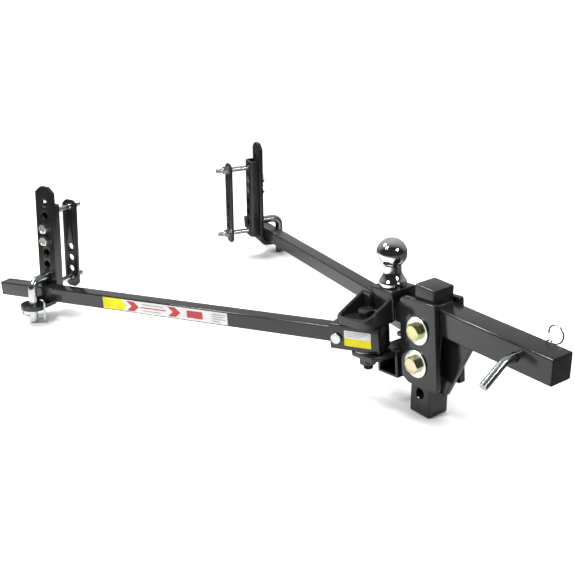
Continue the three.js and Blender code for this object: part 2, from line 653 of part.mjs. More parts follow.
// The two long bolts that clamp the trailer frame between the channel and the link plate.
function clampBolts(fit, side) {
  const { radius, play, flats, head: headHeight, nut, spare } = CLAMP_BOLT;
  const headSeat = CHANNEL_WEB + CHANNEL.wall + GAP;
  const nutSeat = LINK.out - LINK.thick - GAP;
  for (const [level, height] of Object.entries(CLAMP_HEIGHTS)) {
    const bolt = join(
      rod(radius, side * (nutSeat - nut - spare), side * (headSeat + OVER), 'y'),
      hexagon(flats, side * headSeat, side * (headSeat + headHeight), 'y'),
    );
    fit(`clamp_bolt_${level}`, bolt.translate(0, 0, height), zinc());
    const clampNut = drilledHexagon(flats, radius + play, side * (nutSeat - nut), side * nutSeat, 'y');
    fit(`clamp_nut_${level}`, clampNut.translate(0, 0, height), zinc());
  }
}

function linkPlate(side) {
  const halfWidth = LINK.width / 2;
  const faces = [side * LINK.out, side * (LINK.out - LINK.thick)];
  const { low, top, corner } = LINK;
  const plate = sheetXZ(
    [[-halfWidth, low + corner], [corner - halfWidth, low],
      [halfWidth - corner, low], [halfWidth, low + corner],
      [halfWidth, top - corner], [halfWidth - corner, top],
      [corner - halfWidth, top], [-halfWidth, top - corner]],
    Math.min(...faces),
    Math.max(...faces),
  );
  const holes = [];
  for (let i = 0; i < LINK_HOLES.count; i += 1) {
    const height = LINK_HOLES.lowest + i * LINK_HOLES.pitch;
    holes.push(bore(LINK_HOLES.radius, ...faces, 'y').translate(0, 0, height));
  }
  return cut(plate, ...holes, ...clampBores(...faces));
}

// The L-shaped pin stands through the foot with its leg over the arm; a wire bail locks it.
function lockPin(fit, side) {
  const out = side * FOOT.pinOut;
  const legEnd = side * (L_PIN.legGap - PLATE.inside);
  const corners = [
    new THREE.Vector3(0, out, 0),
    new THREE.Vector3(0, out, L_PIN.legHeight),
    new THREE.Vector3(0, legEnd, L_PIN.legHeight),
  ];
  const pin = cut(
    bentRod(L_PIN.radius, L_PIN.bend, corners, ROUND_SIDES),
    rod(BAIL.hole, -BAR, BAR, 'x', SMALL_SIDES).translate(0, out, L_PIN.clipHeight),
  );
  fit('l_pin', pin, zinc());

  const bail = bentRod(BAIL.wire, BAIL.bend, [
    new THREE.Vector3(BAIL.hook, out, BAIL.top),
    new THREE.Vector3(BAIL.reach, out, BAIL.top),
    new THREE.Vector3(BAIL.reach, out, L_PIN.clipHeight),
    new THREE.Vector3(-BAIL.reach, out, L_PIN.clipHeight),
    new THREE.Vector3(-BAIL.reach, out, BAIL.stub),
  ]);
  fit('l_pin_bail', bail, zinc());
}

// ---- Assembly ----

const SIDES = [
  { word: 'right', side: -1, angle: RIGHT_ARM_ANGLE, station: RIGHT_STATION, lean: RIGHT_LEAN },
  { word: 'left', side: 1, angle: LEFT_ARM_ANGLE, station: LEFT_STATION, lean: LEFT_LEAN },
];

buildShank();
buildHitchPin();
buildPlatform();
buildBall();
headBoltSet(head, 'upper', 0, 0);
headBoltSet(hitch, 'lower', BOLT_LINE, LOWER_BOLT_HEIGHT);
for (const { word, side, angle, station, lean } of SIDES) {
  buildSidePlate(`head_side_plate_${word}`, side);
  buildUpperWing(`upper_wing_${word}`, side);
  buildLowerWing(`lower_wing_${word}`, side);
  buildSocketBolt(word, side);
  const arm = buildArm(word, side, angle);
  buildBracket(word, side, arm, station, lean);
}

export default hitch;
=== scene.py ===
# Weight distribution hitch: detailed pieces, materials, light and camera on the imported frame.
import bmesh
import bpy
import math
from mathutils import Matrix, Vector, noise


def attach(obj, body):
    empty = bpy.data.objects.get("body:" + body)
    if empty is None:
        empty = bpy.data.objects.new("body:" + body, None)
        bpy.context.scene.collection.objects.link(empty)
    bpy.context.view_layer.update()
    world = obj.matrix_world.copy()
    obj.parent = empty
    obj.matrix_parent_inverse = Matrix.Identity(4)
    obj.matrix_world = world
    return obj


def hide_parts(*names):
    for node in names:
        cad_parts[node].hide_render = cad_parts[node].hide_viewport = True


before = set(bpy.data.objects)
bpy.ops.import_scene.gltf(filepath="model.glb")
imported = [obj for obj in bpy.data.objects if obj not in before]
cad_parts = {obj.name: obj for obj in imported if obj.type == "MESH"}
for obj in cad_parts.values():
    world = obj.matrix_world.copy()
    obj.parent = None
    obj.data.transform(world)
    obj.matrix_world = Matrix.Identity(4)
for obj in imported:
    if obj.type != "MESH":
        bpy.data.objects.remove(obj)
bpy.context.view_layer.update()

MM = 0.001
noise.seed_set(1)               # the weld beads come out the same on every run

# ---- Camera ----

YAW = math.radians(52.647)      # 0 looks along +Y, 90 along -X
PITCH = math.radians(22.445)    # downwards
ROLL = math.radians(-0.433)
CAMERA_AT = Vector((0.9225, -1.2636, 0.7674))
FOCAL = 64.78
SENSOR = 36


def make_camera():
    back = Vector((math.sin(YAW) * math.cos(PITCH), -math.cos(YAW) * math.cos(PITCH), math.sin(PITCH)))
    right = Vector((math.cos(YAW), math.sin(YAW), 0))
    up = back.cross(right)
    rolled_right = right * math.cos(ROLL) + up * math.sin(ROLL)
    rolled_up = up * math.cos(ROLL) - right * math.sin(ROLL)
    data = bpy.data.cameras.new("camera")
    data.sensor_width = SENSOR
    data.lens = FOCAL
    camera = bpy.data.objects.new("camera", data)
    turn = Matrix((rolled_right, rolled_up, back)).transposed().to_4x4()
    camera.matrix_world = Matrix.Translation(CAMERA_AT) @ turn
    bpy.context.collection.objects.link(camera)
    bpy.context.scene.camera = camera


make_camera()

# ---- Dimensions, in millimetres ----

GAP = 0.3                       # between faces of neighbouring pieces
MERGE = 1e-3                    # points closer than this are one
BEND_CUTS = 12                  # steps in the bend of a folded plate
BEAD_STEP = 0.7                 # along a weld
BEAD_RIPPLE = 3.4               # from one ripple of a weld to the next
BEAD_DRIFT = 9                  # length over which a weld wanders to one side
BEAD_WOBBLE = 0.35

BAR_HALF = 25.4
BAR_CORNER = 4.5
BAR_CHAMFER = 2.2
SHANK_LENGTH = 268
SHANK_AXIS = 203.1              # height of the receiver bar's axis above the drop bar's low end
SHANK_TOP = SHANK_AXIS + BAR_HALF
DROP_HEIGHT = 259
HITCH_PIN_X = 190
HITCH_PIN_RADIUS = 7.94
GUSSET_LOW = 51

BOLT_PITCH = 66.7
LOW_HOLE = 43.5
LOWER_BOLT = LOW_HOLE + BOLT_PITCH
UPPER_BOLT = LOW_HOLE + 2 * BOLT_PITCH
BIG_HOLE = 10.25                # radius of the holes for the head bolts
BOLT_RADIUS = 9.5
BOLT_FLATS = 28.6
BOLT_BORE = 9.6                 # of a nut

HEAD_TILT = math.radians(5.5)
PLATE_INNER = 25.7
PLATE_THICK = 12
SEAT = 55.8                     # top of the ball platform, where the ball stands
BALL_X = -104
BALL_RADIUS = 29.37
BALL_RISE = 63.7                # from the seat to the ball's centre
BALL_NECK = 17.7
PIVOT = Vector((-112, 63.5, -31.5))     # of the left arm, from the upper head bolt
PIVOT_HOLE = 9.8
SOCKET_HALF = 25.2
DISC_ROOM = 2.6                 # for a friction disc between a socket and a wing
WING_LOW = PIVOT.z + SOCKET_HALF + DISC_ROOM
LOWER_WING_TOP = PIVOT.z - SOCKET_HALF - DISC_ROOM
LOWER_WING_THICK = 9.5

ARM_HALF = 15.875
ARM_LENGTH = 937                # from the pivot to the arm's rear end
ARM_PIN = Vector((-53, 0, -3))
ARM_ANGLE = {-1: math.radians(22.7), 1: math.radians(14.9)}
STATION = {-1: 822, 1: 803}     # of the brackets, from the pivots
LEAN = {-1: math.radians(3.5), 1: 0}
WORD = {-1: "right", 1: "left"}

BRACKET_PLAY = 2.3              # between an arm and its bracket
BRACKET_THICK = 9.6
BRACKET_TOP = 303
BRACKET_HALF = 25
INSIDE = ARM_HALF + BRACKET_PLAY    # from the arm's axis to the face of a bracket plate
HOLE = 8.6                      # radius of the holes that the bracket and the channel share
TOP_HOLE = 265
HOLE_PITCH = 28.6
CHANNEL_WALL = 6
CHANNEL_DEPTH = 24
WEB = INSIDE + BRACKET_THICK + GAP + CHANNEL_DEPTH  # to the outer face of the channel's web
CLAMPS = (240, 70)
CLAMP_RADIUS = 6.3
CLAMP_HOLE = 6.7
CLAMP_FLATS = 19
LINK_OUT = 99
LINK_THICK = 7.5
FOOT_ROUND = 28                 # radius of the foot's round end
FOOT_EDGE = 27.9                # radius drawn for the foot's round end, a little inside its own
PIN_OUT = 34
L_PIN_RADIUS = 9.53
L_PIN_HEIGHT = 94.1

HITCH = Matrix.Translation((-SHANK_LENGTH, 0, -SHANK_AXIS))
HEAD = HITCH @ Matrix.Translation((-BAR_HALF, 0, UPPER_BOLT)) @ Matrix.Rotation(-HEAD_TILT, 4, "Y")
QUARTER_Y = Matrix.Rotation(math.pi / 2, 4, "Y")


def arm_frame(side):
    """Origin on the arm's pivot, local X forwards along the arm."""
    pivot = Matrix.Translation((PIVOT.x, side * PIVOT.y, PIVOT.z))
    return HEAD @ pivot @ Matrix.Rotation(-side * ARM_ANGLE[side], 4, "Z")


def bracket_frame(side):
    """Origin below the arm, level with the drop bar's low end; also the height of the top of the foot."""
    local = HITCH.inverted() @ arm_frame(side)
    centre = local @ Vector((-STATION[side], 0, 0))
    ahead = local @ Vector((1 - STATION[side], 0, 0)) - centre
    turn = Matrix.Rotation(math.atan2(ahead.y, ahead.x), 4, "Z") @ Matrix.Rotation(side * LEAN[side], 4, "X")
    place = Matrix.Translation(centre - turn @ Vector((0, 0, centre.z)))
    fall = ahead.z / math.hypot(ahead.x, ahead.y)
    foot_top = centre.z - ARM_HALF / math.cos(math.atan(fall)) - fall * FOOT_ROUND - BRACKET_PLAY
    return HITCH @ place @ turn, foot_top


# ---- Shapes ----

def grid(rings, caps=True):
    """Quads between rings of equal length."""
    bm = bmesh.new()
    rows = [[bm.verts.new(p) for p in ring] for ring in rings]
    n = len(rows[0])
    for a, b in zip(rows, rows[1:]):
        for i in range(n):
            j = (i + 1) % n
            bm.faces.new((a[i], a[j], b[j], b[i]))
    if caps:
        bm.faces.new(rows[0][::-1])
        bm.faces.new(rows[-1])
    return bm


def aim(direction, at=(0, 0, 0)):
    """Carries local +Z to a direction at a point."""
    turn = Vector(direction).to_track_quat("Z", "Y").to_matrix().to_4x4()
    return Matrix.Translation(at) @ turn


def around(radius, height, i, sides):
    """A point on a circle round Z, after i of the steps that make a full turn."""
    turn = 2 * math.pi * i / sides
    return radius * math.cos(turn), radius * math.sin(turn), height


def lathe(profile, sides=64):
    """Turns (radius, height) points round Z. The first and last lie on the axis."""
    return grid([[around(max(r, MERGE), z, i, sides) for i in range(sides)] for r, z in profile])


def corner(before, here, after, radius, share, steps):
    """A curve in place of a corner, which takes up to a share of each side."""
    a = before - here
    b = after - here
    reach = min(radius, a.length * share, b.length * share)
    start = here + a.normalized() * reach
    end = here + b.normalized() * reach
    curve = []
    for i in range(steps + 1):
        t = i / steps
        curve.append(start * (1 - t) ** 2 + here * 2 * t * (1 - t) + end * t * t)
    return curve


def rounded(profile, radius, steps=4):
    """Rounds the inner corners of an open outline."""
    points = [Vector(p) for p in profile]
    out = [points[0]]
    for before, here, after in zip(points, points[1:], points[2:]):
        out += corner(before, here, after, radius, 0.45, steps)
    return out + [points[-1]]


def loop(points, radius, steps=5):
    """Rounds every corner of a closed outline; a radius may be given for each corner."""
    corners = [Vector(p) for p in points]
    n = len(corners)
    radii = radius if isinstance(radius, (list, tuple)) else [radius] * n
    out = []
    for i in range(n):
        out += corner(corners[i - 1], corners[i], corners[(i + 1) % n], radii[i], 0.48, steps)
    return out


def circle(x, y, radius, sides=48):
    ring = [around(radius, 0, i, sides) for i in range(sides)]
    return [Vector((x + dx, y + dy)) for dx, dy, _ in ring]


def evaluated(holder):
    """An object's shape after its modifiers."""
    shown = holder.evaluated_get(bpy.context.evaluated_depsgraph_get())
    mesh = bpy.data.meshes.new_from_object(shown)
    bm = bmesh.new()
    bm.from_mesh(mesh)
    bpy.data.meshes.remove(mesh)
    return bm


def plate(outline, holes, thick, bevel=0.9):
    """A flat plate in X and Y with eased edges, from z = 0 to its thickness."""
    curve = bpy.data.curves.new("outline", "CURVE")
    curve.dimensions = "2D"
    curve.fill_mode = "BOTH"
    curve.extrude = thick / 2 - bevel
    curve.bevel_depth = bevel
    curve.bevel_resolution = 2
    curve.offset = -bevel
    for ring in (outline, *holes):
        spline = curve.splines.new("POLY")
        spline.points.add(len(ring) - 1)
        for point, (x, y) in zip(spline.points, ring):
            point.co = (x, y, 0, 1)
        spline.use_cyclic_u = True
    holder = bpy.data.objects.new("outline", curve)
    bpy.context.collection.objects.link(holder)
    bm = evaluated(holder)
    bpy.data.objects.remove(holder)
    bpy.data.curves.remove(curve)
    bmesh.ops.remove_doubles(bm, verts=bm.verts, dist=MERGE)
    bm.transform(Matrix.Translation((0, 0, thick / 2)))
    return bm


def forward(angle):
    return Vector((math.cos(angle), math.sin(angle)))


def leftward(angle):
    return Vector((-math.sin(angle), math.cos(angle)))


def fold(bm, start, heading, runs, bend, thick):
    """Bends a flat plate, drawn with X along its length, with quarter turns between runs."""
    arc = bend * math.pi / 2
    spans = []
    at = Vector(start)
    angle = heading
    begin = 0
    for number, length in enumerate(runs):
        if number:
            spans.append((begin, arc, at, angle, True))
            for i in range(BEND_CUTS + 1):
                cut = begin + arc * i / BEND_CUTS
                whole = bm.verts[:] + bm.edges[:] + bm.faces[:]
                bmesh.ops.bisect_plane(bm, geom=whole, plane_co=(cut, 0, 0), plane_no=(1, 0, 0))
            hub = at + leftward(angle) * bend
            angle += math.pi / 2
            at = hub - leftward(angle) * bend
            begin += arc
        spans.append((begin, length, at, angle, False))
        at = at + forward(angle) * length
        begin += length
    for v in bm.verts:
        inside = (span for span in spans if v.co.x <= span[0] + span[1] + 1e-6)
        begin, _, origin, angle, bent = next(inside, spans[-1])
        along = v.co.x - begin
        if bent:
            hub = origin + leftward(angle) * bend
            angle += along / bend
            spot = hub - leftward(angle) * bend
        else:
            spot = origin + forward(angle) * along
        spot = spot + leftward(angle) * (v.co.z - thick / 2)
        v.co = (v.co.y, spot.x, spot.y)
    return bm


def box(x0, x1, y0, y1, z0, z1):
    bm = bmesh.new()
    bmesh.ops.create_cube(bm, size=1)
    size = Matrix.Diagonal((abs(x1 - x0), abs(y1 - y0), abs(z1 - z0), 1))
    bm.transform(Matrix.Translation(((x0 + x1) / 2, (y0 + y1) / 2, (z0 + z1) / 2)) @ size)
    return bm


def prism(outline, z0, z1):
    return grid([[(x, y, z0) for x, y in outline], [(x, y, z1) for x, y in outline]])


def upright(bm):
    """Stands a plate drawn in X and Z on its edge: local Y becomes Z, and Z becomes -Y."""
    bm.transform(Matrix.Rotation(math.pi / 2, 4, "X"))
    return bm


def temporary(bm):
    mesh = bpy.data.meshes.new("temporary")
    bmesh.ops.recalc_face_normals(bm, faces=bm.faces)
    bm.to_mesh(mesh)
    bm.free()
    holder = bpy.data.objects.new("temporary", mesh)
    bpy.context.collection.objects.link(holder)
    return holder


def carve(body, *tools):
    """Cuts tools out of a body."""
    holder = temporary(body)
    cutters = [temporary(t) for t in tools]
    for cutter in cutters:
        modifier = holder.modifiers.new("carve", "BOOLEAN")
        modifier.operation = "DIFFERENCE"
        modifier.solver = "EXACT"
        modifier.object = cutter
    bm = evaluated(holder)
    for thing in (holder, *cutters):
        data = thing.data
        bpy.data.objects.remove(thing)
        bpy.data.meshes.remove(data)
    bmesh.ops.remove_doubles(bm, verts=bm.verts, dist=MERGE)
    bmesh.ops.dissolve_limit(bm, angle_limit=math.radians(1), verts=bm.verts, edges=bm.edges)
    return bm


def ease(bm, width, segments=3, sharper=30):
    """Rounds the edges that turn more than an angle."""
    limit = math.radians(sharper)
    sharp = [e for e in bm.edges if len(e.link_faces) == 2 and e.calc_face_angle(0) > limit]
    bmesh.ops.bevel(bm, geom=sharp, offset=width, segments=segments, profile=0.5, affect="EDGES",
                    clamp_overlap=True)
    return bm


def rod(radius, z0, z1, chamfer=0, sides=48):
    if not chamfer:
        return lathe([(0, z0), (radius, z0), (radius, z1), (0, z1)], sides)
    flat = radius - chamfer
    low = [(0, z0), (flat, z0), (radius, z0 + chamfer)]
    return lathe(low + [(radius, z1 - chamfer), (flat, z1), (0, z1)], sides)


def disc(outer, inner, z0, z1, ease_by=0.5, sides=72):
    """A washer with eased edges, its profile closed on itself."""
    ring = loop([(inner, z0), (outer, z0), (outer, z1), (inner, z1)], ease_by, 3)
    bm = bmesh.new()
    rows = [[bm.verts.new(around(p.x, p.y, i, sides)) for p in ring] for i in range(sides)]
    for a, b in zip(rows, rows[1:] + rows[:1]):
        for k in range(len(ring)):
            m = (k + 1) % len(ring)
            bm.faces.new((a[k], a[m], b[m], b[k]))
    return bm


def hexagon(flats, z0, z1, bore=0, sides=72):
    """A bolt head, or a nut if it has a bore. Its corners are turned off, at both ends of a nut."""
    rim = flats / 2 * 0.97
    inner = max(bore, 0.01)
    edge = 0.3                  # eased under a bolt head
    mouth = 0.6                 # widening at a nut's outer end
    dish = 0.35                 # depth of the hollow in a bolt head
    turns = [2 * math.pi * i / sides for i in range(sides)]
    radii = [flats / 2 / math.cos(turn % (math.pi / 3) - math.pi / 6) for turn in turns]
    drops = [max(0, radius - rim) * math.tan(math.radians(30)) for radius in radii]

    def ring(radii, heights):
        return [around(radius, z, i, sides) for i, (radius, z) in enumerate(zip(radii, heights))]

    def flat_ring(radius, height):
        return ring([radius] * sides, [height] * sides)

    rings = [flat_ring(inner, z0)]
    if bore:
        rings += [flat_ring(rim, z0), ring(radii, [z0 + drop for drop in drops])]
    else:
        rings += [ring([radius - edge for radius in radii], [z0] * sides), ring(radii, [z0 + edge] * sides)]
    rings += [ring(radii, [z1 - drop for drop in drops]), flat_ring(rim, z1)]
    if bore:
        rings += [flat_ring(inner + mouth, z1), flat_ring(inner, z1 - mouth)]
    else:
        rings += [flat_ring(rim * 0.86, z1), flat_ring(rim * 0.82, z1 - dish), flat_ring(inner, z1 - dish)]
    bm = grid(rings, caps=not bore)
    if bore:
        bmesh.ops.bridge_loops(bm, edges=[e for e in bm.edges if e.is_boundary])
    return bm


def thread(radius, z0, z1, pitch, sides=40):
    """A rod with a helical thread and a chamfered far end."""
    depth = pitch * 0.5
    rows = max(8, int((z1 - z0) / pitch * 7))
    rings = []
    for k in range(rows + 1):
        z = z0 + (z1 - z0) * k / rows
        end = min(1, max(0, (z1 - z) / (pitch * 1.2)))
        ring = []
        for i in range(sides):
            phase = ((z - z0) / pitch - i / sides) % 1
            groove = depth * (1 - min(1, 2.6 * abs(phase - 0.5)))
            ring.append(around(min(radius - groove, radius - depth * (1 - end)), z, i, sides))
        rings.append(ring)
    return grid(rings)


def corner_path(corners, bend, steps=10):
    """Straight runs joined by round bends."""
    points = [Vector(c) for c in corners]
    out = [points[0]]
    for before, here, after in zip(points, points[1:], points[2:]):
        a, b = (before - here).normalized(), (after - here).normalized()
        half = a.angle(b) / 2
        reach = bend / math.tan(half)
        hub = here + (a + b).normalized() * (bend / math.sin(half))
        start = here + a * reach - hub
        axis = start.cross(here + b * reach - hub).normalized()
        swing = math.pi - 2 * half
        for i in range(steps + 1):
            out.append(hub + Matrix.Rotation(swing * i / steps, 3, axis) @ start)
    out.append(points[-1])
    return out


def tube(points, radius, sides=32, chamfer=0):
    """A round rod along points; the radius may be a list with one for each point."""
    path = [Vector(p) for p in points]
    if chamfer:
        path.insert(1, path[0] + (path[1] - path[0]).normalized() * chamfer)
        path.insert(-1, path[-1] + (path[-2] - path[-1]).normalized() * chamfer)
    last = len(path) - 1
    across = None
    rings = []
    for i, here in enumerate(path):
        ahead = (path[min(i + 1, last)] - path[max(i - 1, 0)]).normalized()
        if across is None:
            across = ahead.orthogonal().normalized()
        across = (across - ahead * across.dot(ahead)).normalized()
        other = ahead.cross(across)
        size = radius[i] if isinstance(radius, list) else radius
        if chamfer and i in (0, last):
            size -= chamfer
        turns = [2 * math.pi * k / sides for k in range(sides)]
        rings.append([here + (across * math.cos(turn) + other * math.sin(turn)) * size for turn in turns])
    return grid(rings)


def weld(start, end, radius=3.2, seed=0):
    """A rippled bead along a line."""
    a = Vector(start)
    b = Vector(end)
    length = (b - a).length
    steps = max(6, int(length / BEAD_STEP))
    points = []
    sizes = []
    for i in range(steps + 1):
        t = i / steps
        wobble = noise.noise_vector(Vector((t * length / BEAD_DRIFT, seed, 0.5))) * BEAD_WOBBLE
        points.append(a.lerp(b, t) + wobble)
        ripple = abs(math.sin(math.pi * t * length / BEAD_RIPPLE))
        close = min(1, 3.2 * min(t, 1 - t) * length / 10 + 0.35)
        sizes.append(radius * close * (0.86 + 0.16 * ripple))
    return tube(points, sizes, 14)


def merge(*parts):
    whole = bmesh.new()
    for part in parts:
        mesh = bpy.data.meshes.new("part")
        part.to_mesh(mesh)
        part.free()
        whole.from_mesh(mesh)
        bpy.data.meshes.remove(mesh)
    return whole


# ---- Materials ----

def surface(name, color, roughness, metallic=0.0, second=None, grain=600, bump=0.02, spread=0.06,
            specular=0.5):
    """A finish whose colour and roughness drift a little, over a fine bump."""
    material = bpy.data.materials.new(name)
    material.use_nodes = True
    nodes = material.node_tree.nodes
    links = material.node_tree.links
    shader = nodes["Principled BSDF"]
    shader.inputs["Metallic"].default_value = metallic
    shader.inputs["Specular IOR Level"].default_value = specular
    where = nodes.new("ShaderNodeTexCoord")

    def cloud(scale, detail):
        node = nodes.new("ShaderNodeTexNoise")
        node.inputs["Scale"].default_value = scale
        node.inputs["Detail"].default_value = detail
        links.new(where.outputs["Object"], node.inputs["Vector"])
        return node.outputs["Fac"]

    ramp = nodes.new("ShaderNodeValToRGB")
    first, last = ramp.color_ramp.elements
    first.position = 0.32
    last.position = 0.68
    first.color = (*color, 1)
    last.color = (*(second or [min(1, c * 1.25 + 0.002) for c in color]), 1)
    links.new(cloud(28, 4), ramp.inputs["Fac"])
    links.new(ramp.outputs["Color"], shader.inputs["Base Color"])
    span = nodes.new("ShaderNodeMapRange")
    span.inputs["To Min"].default_value = roughness - spread
    span.inputs["To Max"].default_value = roughness + spread
    links.new(cloud(70, 3), span.inputs["Value"])
    links.new(span.outputs["Result"], shader.inputs["Roughness"])
    relief = nodes.new("ShaderNodeBump")
    relief.inputs["Strength"].default_value = bump
    relief.inputs["Distance"].default_value = 0.0004
    links.new(cloud(grain, 2), relief.inputs["Height"])
    links.new(relief.outputs["Normal"], shader.inputs["Normal"])
    return material


BLACK = surface("black_powder_coat", (0.009, 0.009, 0.0095), 0.17, grain=420, bump=0.10, spread=0.04)
ZINC = surface("zinc_plate", (0.40, 0.44, 0.435), 0.24, 1.0, (0.56, 0.58, 0.57), 900, 0.08)
BRIGHT_ZINC = surface("bright_zinc_plate", (0.56, 0.60, 0.50), 0.24, 1.0, (0.84, 0.85, 0.80), 900, 0.08)
YELLOW_ZINC = surface("yellow_zinc_plate", (0.50, 0.54, 0.20), 0.22, 1.0, (0.64, 0.55, 0.40), 900, 0.08)
CHROME = surface("chrome_plate", (0.60, 0.60, 0.595), 0.06, 1.0, grain=400, bump=0.01, spread=0.015)
STEEL = surface("rolled_steel", (0.33, 0.33, 0.34), 0.42, 1.0, grain=500, bump=0.2)
WHITE_FILM = surface("white_film", (0.49, 0.485, 0.48), 0.35, grain=300, bump=0.03, specular=0.25)
YELLOW_FILM = surface("yellow_film", (0.50, 0.45, 0.003), 0.35, grain=300, bump=0.03, specular=0.2)
RED_FILM = surface("red_film", (0.30, 0.012, 0.018), 0.35, grain=300, bump=0.03)
GREY_FILM = surface("grey_film", (0.22, 0.22, 0.23), 0.4, grain=300, bump=0.03)


def piece(name, bm, at, material, body, *nodes, smooth=32):
    """Makes a piece from a shape drawn in a frame in millimetres."""
    bm.transform(Matrix.Scale(MM, 4) @ at)
    bmesh.ops.recalc_face_normals(bm, faces=bm.faces)
    mesh = bpy.data.meshes.new(name)
    bm.to_mesh(mesh)
    bm.free()
    mesh.shade_smooth()
    mesh.set_sharp_from_angle(angle=math.radians(smooth))
    mesh.materials.append(material)
    made = bpy.data.objects.new(name, mesh)
    bpy.context.collection.objects.link(made)
    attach(made, body)
    if nodes:
        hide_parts(*nodes)
    return made


# ---- Shank ----

def square(half, corner_radius, inset):
    flat = half - inset
    corners = [(flat, -flat), (flat, flat), (-flat, flat), (-flat, -flat)]
    return loop(corners, max(corner_radius - inset, 0.6), 6)


def square_bar(half, corner_radius, z0, z1, low_edge, high_edge):
    """A bar with round corners and rounded ends."""
    def ring(end, edge, turn):
        inset = abs(edge) * (1 - math.sin(turn))
        height = end + edge * (1 - math.cos(turn))
        return [(p.x, p.y, height) for p in square(half, corner_radius, inset)]

    turns = [math.pi / 2 * i / 3 for i in range(4)]
    low = [ring(z0, low_edge, turn) for turn in turns]
    high = [ring(z1, -high_edge, turn) for turn in reversed(turns)]
    return grid(low + high)


def spool(radius, reach):
    """A cutter for a hole right through a bar, with eased rims."""
    flare = 1.2
    past = 5
    far = reach + past
    low = [(0, -far), (radius + flare + past, -far), (radius + flare, -reach), (radius, flare - reach)]
    high = [(r, -z) for r, z in reversed(low)]
    return lathe(low + high, 56)


def cross_hole(radius, x, height):
    """A spool across a bar, at a place along it."""
    cutter = spool(radius, BAR_HALF)
    cutter.transform(aim((0, 1, 0), (x, 0, height)))
    return cutter


def make_shank():
    bar = square_bar(BAR_HALF, BAR_CORNER, GAP, SHANK_LENGTH, 0.3, BAR_CHAMFER)
    bar.transform(Matrix.Translation((0, 0, SHANK_AXIS)) @ QUARTER_Y)
    bar = carve(bar, cross_hole(8.4, HITCH_PIN_X, SHANK_AXIS))
    piece("receiver_bar_fine", bar, HITCH, BLACK, "shank", "shank_receiver_bar")
    bar = square_bar(BAR_HALF, BAR_CORNER, 0, DROP_HEIGHT, BAR_CHAMFER, BAR_CHAMFER)
    bar.transform(Matrix.Translation((-BAR_HALF, 0, 0)))
    bar = carve(bar, *[cross_hole(BIG_HOLE, -BAR_HALF, z) for z in (LOW_HOLE, LOWER_BOLT, UPPER_BOLT)])
    piece("drop_bar_fine", bar, HITCH, BLACK, "shank", "shank_drop_bar")
    low = GUSSET_LOW
    under = SHANK_TOP - 2 * BAR_HALF - GAP
    outline = loop([(GAP, under), (GAP, low), (22, low), (80, under)], [0.5, 2, 4, 0.5])
    web = upright(plate(outline, [], 10, 1.1))
    web.transform(Matrix.Translation((0, 5, 0)))
    piece("gusset_fine", web, HITCH, BLACK, "shank", "shank_gusset")
    beads = []
    for side in (-1, 1):
        beads.append(weld((1, side * 25, SHANK_TOP - 48), (1, side * 25, SHANK_TOP - 5), 3.4, side))
        beads.append(weld((1, side * 5, low + 3), (1, side * 5, under - 3), 3, side + 4))
        beads.append(weld((3, side * 5, under), (76, side * 5, under), 3, side + 8))
    beads.append(weld((1, -23, SHANK_TOP - 0.6), (1, 23, SHANK_TOP - 0.6), 3.6, 3))
    piece("shank_welds", merge(*beads), HITCH, BLACK, "shank", smooth=60)


def clip_path(low, high, ring, aside):
    """A straight leg, then a loop that steps aside."""
    full = 40                   # steps of a whole turn
    drawn = 36                  # and those that the wire takes
    points = [Vector((0, 0, low + (high - low) * i / 10)) for i in range(11)]
    for i in range(1, drawn + 1):
        turn = -math.pi / 2 + i / full * 2 * math.pi
        out = aside * i / full
        points.append(Vector((ring * math.cos(turn), out, high + ring * (1 + math.sin(turn)))))
    smooth = points[:]
    for i in range(8, 16):
        smooth[i] = (points[i - 1] + points[i] * 2 + points[i + 1]) / 4
    return smooth


def make_hitch_pin():
    at = HITCH @ Matrix.Translation((HITCH_PIN_X, 0, SHANK_AXIS))
    slope = math.radians(34)
    bend = Vector((0, -50, 0))
    tip = bend + Vector((0, -math.cos(slope), -math.sin(slope))) * 60
    path = corner_path([(0, 42, 0), bend, tip], 26)
    piece("hitch_pin_fine", tube(path, HITCH_PIN_RADIUS, 40, 1.6), at, ZINC, "hitch_pin", "hitch_pin")
    lean = Matrix.Translation((0, 35, 0)) @ Matrix.Rotation(math.radians(42), 4, "Y")
    piece("hitch_pin_clip_fine", tube(clip_path(-14, 31, 16, 4.2), 1.55, 14, 0.4), at @ lean, ZINC,
          "hitch_pin_clip", "hitch_pin_clip")


# ---- Head ----

def make_side_plate(side):
    shift = -BOLT_PITCH * math.sin(HEAD_TILT)
    outline = loop([(-47, 50), (-47, -100), (-30, -111), (39, -113), (44, -110), (44, 57), (-40, 57)],
                   [3, 4, 4, 3, 3, 5, 3])
    slot = []
    for end, start in ((1, -90), (-1, 90)):
        for i in range(17):
            a = math.radians(start + 180 * i / 16)
            x = shift + 7.5 * end + BIG_HOLE * math.cos(a)
            slot.append(Vector((x, -BOLT_PITCH + BIG_HOLE * math.sin(a))))
    bm = upright(plate(outline, [circle(0, 0, BIG_HOLE), slot], PLATE_THICK, 1.4))
    inner = side * PLATE_INNER
    bm.transform(Matrix.Translation((0, max(inner, inner + side * PLATE_THICK), 0)))
    piece(f"side_plate_fine_{WORD[side]}", bm, HEAD, BLACK, "head", f"head_side_plate_{WORD[side]}")


